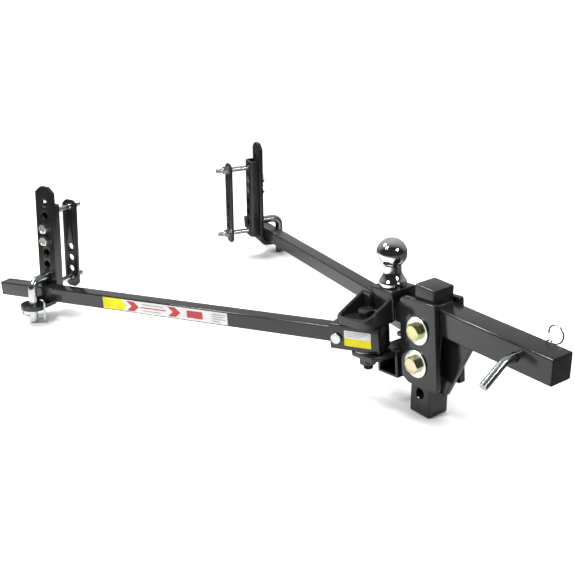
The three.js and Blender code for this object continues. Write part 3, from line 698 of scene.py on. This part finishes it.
def make_platform():
    bore = rod(16.2, 20, 60, 0, 64)
    bore.transform(Matrix.Translation((BALL_X, 0, 0)))
    body = carve(box(-137, -73, -31, 31, -3.7, 55.5), box(-140, -70, -25.4, 25.4, -6, 24), bore)
    web = box(-73.3, -36, -25.3, 25.3, -3.7, 30)
    piece("ball_platform_fine", merge(ease(body, 2.2), ease(web, 1.6)), HEAD, BLACK, "head",
          "ball_platform")
    hollow = box(-106, -63, -60, 60, -105, LOWER_WING_TOP - 6)
    block = carve(box(-112, -57, -40, 40, -111, LOWER_WING_TOP), hollow)
    tongue = box(-63, -43.5, -25.3, 25.3, -111, -45)
    piece("lower_block_fine", merge(ease(block, 2.2), ease(tongue, 1.6)), HEAD, BLACK, "head",
          "head_lower_block")


def make_head_welds():
    under = LOWER_WING_TOP - 9
    lines = (                   # out from the middle, from (x, z) to (x, z), radius, seed
        (26, (-48.5, -1), (-48.5, 29), 3.2, 0),
        (26, (-48.5, -109), (-48.5, -47), 3.0, 1),
        (26, (-72, 1), (-72, 28), 3.4, 2),
        (31, (-72, -2), (-72, 42), 3.0, 5),
        (32, (-128, 7.6), (-83, 7.6), 3.0, 7),
        (32, (-129.5, 9), (-129.5, 42), 2.6, 9),
        (32, (-81, 9), (-81, 42), 2.6, 10),
        (41, (-110, under), (-67, under), 2.8, 11),
    )
    beads = []
    for side in (-1, 1):
        for out, (x0, z0), (x1, z1), radius, seed in lines:
            beads.append(weld((x0, side * out, z0), (x1, side * out, z1), radius, side * 3 + seed))
    beads.append(weld((-72, -24, 30), (-72, 24, 30), 3.4, 21))
    beads.append(weld((-56, -24, -46), (-56, 24, -46), 3, 22))
    piece("head_welds", merge(*beads), HEAD, BLACK, "head", smooth=60)


def wing_outline(side, inner, wall, round_by):
    """An upper wing seen from above, or its pocket when a wall is left round it."""
    rear = -156 + wall
    front = -73 - wall
    rear_out = side * (108 - wall)
    front_out = side * (98 - wall)
    points = [(rear, side * inner), (rear, rear_out), (front, front_out), (front, side * inner)]
    return loop(points, [0.4, round_by, round_by, 0.4], 10)


def make_wings(side):
    word = WORD[side]
    rib = 6.5
    floor = 7
    rib_high = 44
    rib_low = 10
    above = 80
    body = prism(wing_outline(side, 31.3, 0, 20), WING_LOW, rib_high)
    cheek = box(-160, -130, side * 20, side * 37.3, floor - 2, 62)
    pocket = carve(prism(wing_outline(side, 25, rib, 16), floor, 60), cheek)
    slope = [(10, rib_high), (31, rib_high), (100, rib_low), (120, rib_low), (120, above), (10, above)]
    top = grid([[(x, side * y, z) for y, z in slope] for x in (-170, -60)])
    bore = rod(PIVOT_HOLE, -10, 12)
    bore.transform(Matrix.Translation((PIVOT.x, side * PIVOT.y, 0)))
    tray = ease(carve(body, pocket, top, bore), 2.4, 4, 24)
    piece(f"upper_wing_fine_{word}", tray, HEAD, BLACK, "head", f"upper_wing_{word}")
    half = [(-142, 40.3), (-142, 71.5), (-128, 91), (-70, 91), (-64, 71.5), (-64, 40.3)]
    outline = loop([(x, side * y) for x, y in half], [0.4, 4, 4, 4, 4, 0.4])
    shelf = plate(outline, [circle(PIVOT.x, side * PIVOT.y, PIVOT_HOLE)], LOWER_WING_THICK, 1.3)
    shelf.transform(Matrix.Translation((0, 0, LOWER_WING_TOP - LOWER_WING_THICK)))
    piece(f"lower_wing_fine_{word}", shelf, HEAD, BLACK, "head", f"lower_wing_{word}")


def make_head_bolt(level, at, body):
    seat = PLATE_INNER + PLATE_THICK + GAP
    washer = 3.2
    right = at @ Matrix.Translation((0, -seat, 0)) @ aim((0, -1, 0))
    left = at @ Matrix.Translation((0, seat, 0)) @ aim((0, 1, 0))
    piece(f"head_washer_fine_{level}", disc(27, 9.9, 0, washer, 0.9), right, BRIGHT_ZINC, body,
          f"head_bolt_washer_{level}")
    head = hexagon(BOLT_FLATS, 3.5, 15.5)
    collar = disc(13.9, 1, washer, 4.2, 0.3)
    piece(f"head_bolt_fine_{level}", merge(head, collar, rod(BOLT_RADIUS, -2 * seat, 3)), right,
          YELLOW_ZINC, body, f"head_bolt_{level}")
    nut = merge(hexagon(BOLT_FLATS, 3.4, 19.9, BOLT_BORE), thread(BOLT_RADIUS, 0, 28.9, 2.5))
    piece(f"head_nut_fine_{level}", nut, left, YELLOW_ZINC, body, f"head_bolt_nut_{level}")
    piece(f"head_nut_washer_{level}", disc(27, 9.9, 0, washer, 0.9), left, BRIGHT_ZINC, body)


def make_ball():
    at = HEAD @ Matrix.Translation((BALL_X, 0, SEAT))
    flange = [(0, 0), (26.7, 0), (26.7, 9.5), (22.7, 15), (20, 20)]
    neck = [(17.6, 26), (17.5, 33), (BALL_NECK, 40.2)]
    profile = rounded(flange + neck, 2.2, 4)
    low = -math.acos(BALL_NECK / BALL_RADIUS)
    high = math.asin(27.0 / BALL_RADIUS)
    for i in range(41):
        turn = low + (high - low) * i / 40
        profile.append(Vector((BALL_RADIUS * math.cos(turn), BALL_RISE + BALL_RADIUS * math.sin(turn))))
    crown = BALL_RISE + 27.4
    profile += [Vector((10.6, crown - 0.1)), Vector((9.8, crown)), Vector((0, crown))]
    piece("ball_fine", lathe(profile, 128), at, CHROME, "head", "hitch_ball", smooth=50)
    under = HEAD @ Matrix.Translation((BALL_X, 0, 23.7))
    down = under @ Matrix.Rotation(math.pi, 4, "X")
    piece("ball_shank", thread(15.9, 0, 34.5, 3.2, 56), down, ZINC, "head")
    cutter = box(10, 30, -1.2, 1.2, -8, 3)
    cutter.transform(Matrix.Rotation(0.35, 4, "X"))
    spring = carve(disc(24.5, 16.2, -5.5, 0, 0.5), cutter)
    piece("ball_lock_washer_fine", spring, under, ZINC, "head", "ball_lock_washer")
    piece("ball_nut_fine", hexagon(44.5, -28.8, -5.8, 16.1), under, ZINC, "head", "ball_nut")


def make_socket_bolt(side):
    word = WORD[side]
    at = HEAD @ Matrix.Translation((PIVOT.x, side * PIVOT.y, 0))
    head = merge(disc(18, 9.6, 7.3, 10.3, 0.7), hexagon(BOLT_FLATS, 10.4, 22.3), rod(BOLT_RADIUS, -80, 9))
    piece(f"socket_bolt_fine_{word}", head, at @ Matrix.Rotation(0.4, 4, "Z"), BLACK, "head",
          f"socket_bolt_{word}")
    low = LOWER_WING_TOP - LOWER_WING_THICK - GAP
    foot = at @ Matrix.Translation((0, 0, low)) @ aim((0, 0, -1))
    nut = merge(disc(18, 9.7, 0, 3, 0.7), hexagon(BOLT_FLATS, 3.1, 19.4, BOLT_BORE),
                thread(BOLT_RADIUS, -2, 98 + low, 2.2))
    piece(f"socket_nut_fine_{word}", nut, foot, BLACK, "head", f"socket_bolt_nut_{word}")
    thick = 2
    spots = (("upper", PIVOT.z + SOCKET_HALF + GAP), ("lower", PIVOT.z - SOCKET_HALF - GAP - thick))
    for level, z in spots:
        piece(f"friction_disc_fine_{level}_{word}", disc(27, PIVOT_HOLE, z, z + thick, 0.4), at, STEEL,
              "head", f"friction_disc_{level}_{word}")


# ---- Sockets and arms ----

def film(points, at, material, name, body, thick=0.12, corner_radius=0.5):
    """A thin label piece drawn in X and Z on an outer face."""
    piece(name, prism(loop(points, corner_radius, 4), 0, thick), at, material, body)


def rectangle(x0, x1, z0, z1):
    return [(x0, z0), (x1, z0), (x1, z1), (x0, z1)]


def face_frame(at, side, out):
    """Local X forwards along the arm, local Y up, local Z outwards, on a side face."""
    turn = Matrix(((1, 0, 0, 0), (0, 0, side, 0), (0, 1, 0, 0), (0, 0, 0, 1)))
    return at @ Matrix.Translation((0, side * out, 0)) @ turn


def make_arm(side):
    word = WORD[side]
    at = arm_frame(side)
    body = f"{word}_arm"
    pin_hole = rod(5.8, -60, 60)
    pin_hole.transform(aim((0, 1, 0), ARM_PIN))
    bolt_hole = rod(10, -60, 60)
    room = ARM_HALF + 0.4
    socket = carve(box(-67, 36, -SOCKET_HALF, SOCKET_HALF, -SOCKET_HALF, SOCKET_HALF),
                   box(-80, -14, -room, room, -room, room), bolt_hole, pin_hole)
    piece(f"arm_socket_fine_{word}", ease(socket, 1.6), at, BLACK, body, f"arm_socket_{word}")
    bar = square_bar(ARM_HALF, 3, -ARM_LENGTH, -15, 1.4, 1.4)
    bar.transform(QUARTER_Y)
    piece(f"spring_arm_fine_{word}", bar, at, BLACK, body, f"spring_arm_{word}")

    outer = SOCKET_HALF + GAP
    pin_at = at @ Matrix.Translation(ARM_PIN) @ aim((0, side, 0))
    shaft = [(0, -outer - 12), (5.5, -outer - 12), (5.5, outer - 1)]
    head = [(10.5, outer), (10.5, outer + 4), (0, outer + 4)]
    pin = lathe(rounded(shaft + head, 1.2, 4), 56)
    piece(f"arm_pin_fine_{word}", pin, pin_at, ZINC, body, f"arm_pin_{word}")
    clip_at = at @ Matrix.Translation(ARM_PIN + Vector((0, -side * (outer + 6), 0)))
    clip = tube(clip_path(-11, 9, 7, -side * 3.6), 1.3, 12, 0.3)
    piece(f"arm_pin_clip_fine_{word}", clip, clip_at, ZINC, f"{word}_arm_pin_clip", f"arm_pin_clip_{word}")


def make_labels(side):
    """Plain blocks of colour on the socket and on the arm."""
    word = WORD[side]
    body = f"{word}_arm"
    raised = 0.2
    tag = face_frame(arm_frame(side), side, SOCKET_HALF)
    film(rectangle(-36, 20, -0.6, 15), tag, WHITE_FILM, f"socket_label_top_{word}", body, corner_radius=2)
    film(rectangle(-36, 20, -16, -0.4), tag, YELLOW_FILM, f"socket_label_low_{word}", body, corner_radius=2)
    for row in range(3):
        z = 11.4 - row * 3.6
        film(rectangle(-31, 12 - 5 * row, z - 0.6, z + 0.6), tag, GREY_FILM,
             f"socket_label_line_{row}_{word}", body, raised, 0.2)

    tag = face_frame(arm_frame(side), side, ARM_HALF)
    end = [(-632, -13), (-580, -13), (-567, 0), (-580, 13), (-632, 13)]
    film(end, tag, YELLOW_FILM, f"arm_label_end_{word}", body, 0.16)
    film(rectangle(-582, -307, -13, 13), tag, WHITE_FILM, f"arm_label_{word}", body, corner_radius=1.5)
    for number, tip in enumerate((-533, -424)):
        arrow = [(tip - 34, -11), (tip - 14, -11), (tip, 0), (tip - 14, 11), (tip - 34, 11), (tip - 20, 0)]
        film(arrow, tag, RED_FILM, f"arm_label_arrow_{number}_{word}", body, raised)
    film(rectangle(-530, -462, -1.2, 1.2), tag, RED_FILM, f"arm_label_rule_{word}", body, raised)
    film(rectangle(-408, -368, -8, 8), tag, RED_FILM, f"arm_label_patch_{word}", body, raised, 2)
    lines = (                   # from x to x, at z
        (-524, -468, 7),
        (-524, -476, -7),
        (-345, -312, 7),
        (-345, -318, 2),
        (-345, -312, -3),
        (-345, -326, -8),
    )
    for row, (x0, x1, z) in enumerate(lines):
        film(rectangle(x0, x1, z - 1, z + 1), tag, GREY_FILM,
             f"arm_label_line_{row}_{word}", body, raised, 0.3)


# ---- Sway brackets ----

def mirrored(at, side):
    """A bracket's frame for shapes drawn on the left side."""
    return at @ Matrix.Diagonal((1, side, 1, 1))


def make_bracket_plate(side):
    """The hanging plate of a bracket, bent at the foot so that it passes under the arm."""
    word = WORD[side]
    at, foot_top = bracket_frame(side)
    inner = 10
    mid = inner + BRACKET_THICK / 2
    rise = BRACKET_TOP - foot_top - inner
    centre = rise + mid * math.pi / 2 + PIN_OUT + INSIDE - inner
    shoulder = centre - math.sqrt(FOOT_EDGE ** 2 - BRACKET_HALF ** 2)
    steps = 40
    outline = [(0, 10), (13, BRACKET_HALF), (shoulder, BRACKET_HALF)]
    for i in range(steps + 1):
        a = math.radians(110 - 220 * i / steps)
        outline.append((centre + FOOT_EDGE * math.cos(a), FOOT_EDGE * math.sin(a)))
    outline += [(shoulder, -BRACKET_HALF), (13, -BRACKET_HALF), (0, -10)]
    radii = [1.6, 1.6, 0.2] + [0.1] * (steps + 1) + [0.2, 1.6, 1.6]
    holes = [circle(BRACKET_TOP - TOP_HOLE + HOLE_PITCH * i, 0, HOLE, 40) for i in range(6)]
    holes.append(circle(centre, 0, 10.1, 40))
    strap = plate(loop(outline, radii, 3), holes, BRACKET_THICK, 1.0)
    start = (-INSIDE - BRACKET_THICK / 2, BRACKET_TOP)
    fold(strap, start, -math.pi / 2, [rise, 200], mid, BRACKET_THICK)
    piece(f"sway_bracket_fine_{word}", strap, mirrored(at, side), BLACK, f"{word}_bracket",
          f"sway_bracket_{word}")


def make_channel(side):
    word = WORD[side]
    at, _ = bracket_frame(side)
    wall = CHANNEL_WALL
    high = 259
    low = 56
    half = 19.5
    bend = 6
    flange = CHANNEL_DEPTH - bend - wall / 2
    web = 2 * (half - wall / 2 - bend)
    turn = bend * math.pi / 2
    length = 2 * flange + web + 2 * turn
    outline = loop([(0, low), (length, low), (length, high), (0, high)], 1.5, 3)
    across = flange + turn + web / 2
    holes = [circle(across, TOP_HOLE - HOLE_PITCH * i, HOLE, 40) for i in range(2, 7)]
    holes += [circle(across, z, CLAMP_HOLE, 36) for z in CLAMPS]
    channel = plate(outline, holes, wall, 0.8)
    start = (-half + wall / 2, -(INSIDE + BRACKET_THICK + GAP))
    fold(channel, start, -math.pi / 2, [flange, web, flange], bend, wall)
    stand = Matrix(((0, 1, 0, 0), (0, 0, 1, 0), (1, 0, 0, 0), (0, 0, 0, 1)))
    channel.transform(stand)
    piece(f"frame_channel_fine_{word}", channel, mirrored(at, side), BLACK, f"{word}_bracket",
          f"frame_channel_{word}")


def make_bracket_bolts(side):
    word = WORD[side]
    at, _ = bracket_frame(side)
    for level, hole in (("upper", 2), ("lower", 3)):
        seat = at @ Matrix.Translation((0, -side * (INSIDE - GAP), TOP_HOLE - hole * HOLE_PITCH))
        bolt = merge(hexagon(20.6, 0.2, 10), rod(7.9, INSIDE - GAP - WEB, 2, 0.8))
        piece(f"bracket_bolt_fine_{level}_{word}", bolt,
              seat @ aim((0, side, 0)) @ Matrix.Rotation(0.3 + hole, 4, "Z"), BRIGHT_ZINC,
              f"{word}_bracket", f"bracket_bolt_{level}_{word}")


def make_clamp_bolts(side):
    word = WORD[side]
    at, _ = bracket_frame(side)
    head_out = WEB - CHANNEL_WALL - GAP
    nut_out = LINK_OUT + LINK_THICK + GAP
    reach = nut_out - head_out
    for level, z in zip(("upper", "lower"), CLAMPS):
        head = at @ Matrix.Translation((0, -side * head_out, z)) @ aim((0, -side, 0))
        bolt = merge(hexagon(CLAMP_FLATS, -8, 0), rod(CLAMP_RADIUS, -1, reach - 12),
                     thread(CLAMP_RADIUS, reach - 12.5, reach + 28.7, 1.9))
        piece(f"clamp_bolt_fine_{level}_{word}", bolt, head, ZINC, f"{word}_bracket",
              f"clamp_bolt_{level}_{word}")
        seat = at @ Matrix.Translation((0, -side * nut_out, z)) @ aim((0, -side, 0))
        nut = merge(disc(11.5, 6.6, 0, 1.5, 0.4), hexagon(CLAMP_FLATS, 1.6, 11, 6.5))
        piece(f"clamp_nut_fine_{level}_{word}", nut, seat @ Matrix.Rotation(0.2, 4, "Z"), ZINC,
              f"{word}_link", f"clamp_nut_{level}_{word}")


def make_link(side):
    word = WORD[side]
    at, _ = bracket_frame(side)
    half = 19.5
    low = 46
    high = 256
    cut = 10
    flat = half - cut
    below = [(-half, low + cut), (-flat, low), (flat, low), (half, low + cut)]
    above = [(half, high - cut), (flat, high), (-flat, high), (-half, high - cut)]
    holes = [circle(0, 90 + 27 * i, 7.6, 44) for i in range(3)]
    holes += [circle(0, z, CLAMP_HOLE, 36) for z in CLAMPS]
    strap = upright(plate(loop(below + above, 1.4), holes, LINK_THICK, 0.9))
    strap.transform(Matrix.Translation((0, -LINK_OUT, 0)))
    piece(f"link_plate_fine_{word}", strap, mirrored(at, side), BLACK, f"{word}_link",
          f"link_plate_{word}")


def make_l_pin(side):
    word = WORD[side]
    at, _ = bracket_frame(side)
    place = mirrored(at, side)
    path = corner_path([(0, PIN_OUT, 0), (0, PIN_OUT, L_PIN_HEIGHT), (0, 2 - INSIDE, L_PIN_HEIGHT)], 19, 14)
    piece(f"l_pin_fine_{word}", tube(path, L_PIN_RADIUS, 44, 1.4), place, ZINC, f"{word}_l_pin",
          f"l_pin_{word}")
    wire = [(21, 55), (33, 55), (33, 9), (-33, 9), (-33, 27)]
    path = corner_path([(x, PIN_OUT, z) for x, z in wire], 5, 6)
    piece(f"l_pin_bail_fine_{word}", tube(path, 2.0, 14, 0.5), place, ZINC, f"{word}_l_pin_bail",
          f"l_pin_bail_{word}")


make_shank()
make_hitch_pin()
make_platform()
make_head_welds()
make_ball()
make_head_bolt("upper", HEAD, "head")
make_head_bolt("lower", HITCH @ Matrix.Translation((-BAR_HALF, 0, LOWER_BOLT)), "shank")
for side in (-1, 1):
    make_side_plate(side)
    make_wings(side)
    make_socket_bolt(side)
    make_arm(side)
    make_labels(side)
    make_bracket_plate(side)
    make_channel(side)
    make_bracket_bolts(side)
    make_clamp_bolts(side)
    make_link(side)
    make_l_pin(side)

# ---- Floor and light, in metres ----

FLOOR = -SHANK_AXIS * MM
FLOOR_HALF, FLOOR_DROP = 60, 0.0008
POOL_HALF, POOL_DROP = 6, 0.0003
BACKDROP_RADIUS = 55
PAPER = (0.86, 0.86, 0.86)
HEAD_AT = Vector((-0.35, 0, 0))
ROOM_BACK = Vector((-0.6, 0.5, 0.62)).normalized()
ROOM_DARK, ROOM_LIGHT = 0.03, 0.6
SOFT_BOXES = (                  # name, direction from the head, distance, size, power
    ("key", (-0.149, -0.666, 0.731), 2.4, 0.45, 40),
    ("fill", (0.786, 0.100, 0.610), 2.4, 0.45, 24),
    ("rim", (-0.605, -0.35, 0.715), 2.4, 0.5, 40),
)
SUN_FROM, SUN_WIDTH, SUN_POWER = (-0.35, 0.30, 0.88), math.radians(70), 3.4
# Painted pool of light on the floor seen only in reflections, with painted shade beyond it
POOL_CENTRE, POOL_REACH = (-0.7, -0.45), (0.75, 0.6)
PAINTED_SHADE_FADE = (0.75, 1.6)         # shares of its reach, between which the painted pool of light fades into painted shade
PAINTED_LIT_LEVEL, PAINTED_SHADE_LEVEL = 0.68, 0.05


def grey(level):
    return (level, level, level, 1)


def stage_object(name, bm, material):
    mesh = bpy.data.meshes.new(name)
    bm.to_mesh(mesh)
    bm.free()
    mesh.materials.append(material)
    made = bpy.data.objects.new(name, mesh)
    bpy.context.collection.objects.link(made)
    return made


def make_floor(name, half, drop, material):
    bm = bmesh.new()
    bmesh.ops.create_grid(bm, x_segments=1, y_segments=1, size=half)
    bm.transform(Matrix.Translation((0, 0, FLOOR - drop)))
    return stage_object(name, bm, material)


def painted_pool_of_light_material():
    """A floor seen only in reflections, with a painted pool of light: white round the object and painted
    shade beyond it.
    """
    material = surface("floor_painted_light_pool", PAPER, 0.8, bump=0.0, specular=0.1)
    nodes = material.node_tree.nodes
    links = material.node_tree.links
    where = nodes.new("ShaderNodeTexCoord")
    shift = nodes.new("ShaderNodeMapping")
    wide, deep = POOL_REACH
    shift.inputs["Location"].default_value = (-POOL_CENTRE[0] / wide, -POOL_CENTRE[1] / deep, 0)
    shift.inputs["Scale"].default_value = (1 / wide, 1 / deep, 0)
    links.new(where.outputs["Object"], shift.inputs["Vector"])
    reach = nodes.new("ShaderNodeVectorMath")
    reach.operation = "LENGTH"
    links.new(shift.outputs["Vector"], reach.inputs[0])
    span = nodes.new("ShaderNodeMapRange")
    span.inputs["From Min"].default_value = PAINTED_SHADE_FADE[0]
    span.inputs["From Max"].default_value = PAINTED_SHADE_FADE[1]
    span.interpolation_type = "SMOOTHSTEP"
    links.new(reach.outputs["Value"], span.inputs["Value"])
    ramp = nodes.new("ShaderNodeValToRGB")
    first, last = ramp.color_ramp.elements
    first.color = grey(PAINTED_LIT_LEVEL)
    last.color = grey(PAINTED_SHADE_LEVEL)
    links.new(span.outputs["Result"], ramp.inputs["Fac"])
    links.new(ramp.outputs["Color"], nodes["Principled BSDF"].inputs["Base Color"])
    return material


def make_room():
    """A dim room: lighter behind the object, dark on the camera's side."""
    world = bpy.data.worlds.new("studio")
    bpy.context.scene.world = world
    world.use_nodes = True
    nodes = world.node_tree.nodes
    links = world.node_tree.links
    where = nodes.new("ShaderNodeTexCoord")
    turned = nodes.new("ShaderNodeVectorMath")
    turned.operation = "DOT_PRODUCT"
    turned.inputs[1].default_value = ROOM_BACK
    links.new(where.outputs["Generated"], turned.inputs[0])
    ramp = nodes.new("ShaderNodeValToRGB")
    first, last = ramp.color_ramp.elements
    first.position = 0.1
    last.position = 0.95
    first.color = grey(ROOM_DARK)
    last.color = grey(ROOM_LIGHT)
    links.new(turned.outputs["Value"], ramp.inputs["Fac"])
    links.new(ramp.outputs["Color"], nodes["Background"].inputs["Color"])
    nodes["Background"].inputs["Strength"].default_value = 1


def make_backdrop():
    """A white surround, seen by the camera alone."""
    bm = bmesh.new()
    bmesh.ops.create_uvsphere(bm, u_segments=48, v_segments=24, radius=BACKDROP_RADIUS)
    material = surface("backdrop_white", PAPER, 0.8, bump=0.0, specular=0.1)
    glow = material.node_tree.nodes["Principled BSDF"].inputs
    glow["Emission Color"].default_value = grey(1)
    glow["Emission Strength"].default_value = 1.0
    backdrop = stage_object("backdrop", bm, material)
    backdrop.visible_diffuse = False
    backdrop.visible_glossy = False
    backdrop.visible_shadow = False
    backdrop.visible_transmission = False


def make_lights():
    for name, direction, distance, size, power in SOFT_BOXES:
        data = bpy.data.lights.new(name, "AREA")
        data.size = size
        data.energy = power
        lamp = bpy.data.objects.new(name, data)
        lamp.matrix_world = aim(direction, HEAD_AT + Vector(direction) * distance)
        bpy.context.collection.objects.link(lamp)
    data = bpy.data.lights.new("overhead", "SUN")
    data.angle = SUN_WIDTH
    data.energy = SUN_POWER
    sun = bpy.data.objects.new("overhead", data)
    sun.matrix_world = aim(SUN_FROM, (0, 0, 3))
    sun.visible_glossy = False
    bpy.context.collection.objects.link(sun)


def make_stage():
    white = surface("floor_white", PAPER, 0.8, second=(0.88, 0.88, 0.88), bump=0.0, specular=0.1)
    floor = make_floor("floor", FLOOR_HALF, FLOOR_DROP, white)
    floor.visible_glossy = False
    # The floor seen only in reflections carries a painted pool of light, and painted shade beyond it
    pool = make_floor("floor_painted_light_pool", POOL_HALF, POOL_DROP, painted_pool_of_light_material())
    pool.visible_camera = False
    pool.visible_diffuse = False
    pool.visible_shadow = False
    make_backdrop()
    make_room()
    make_lights()
    bpy.context.scene.view_settings.view_transform = "Standard"


make_stage()
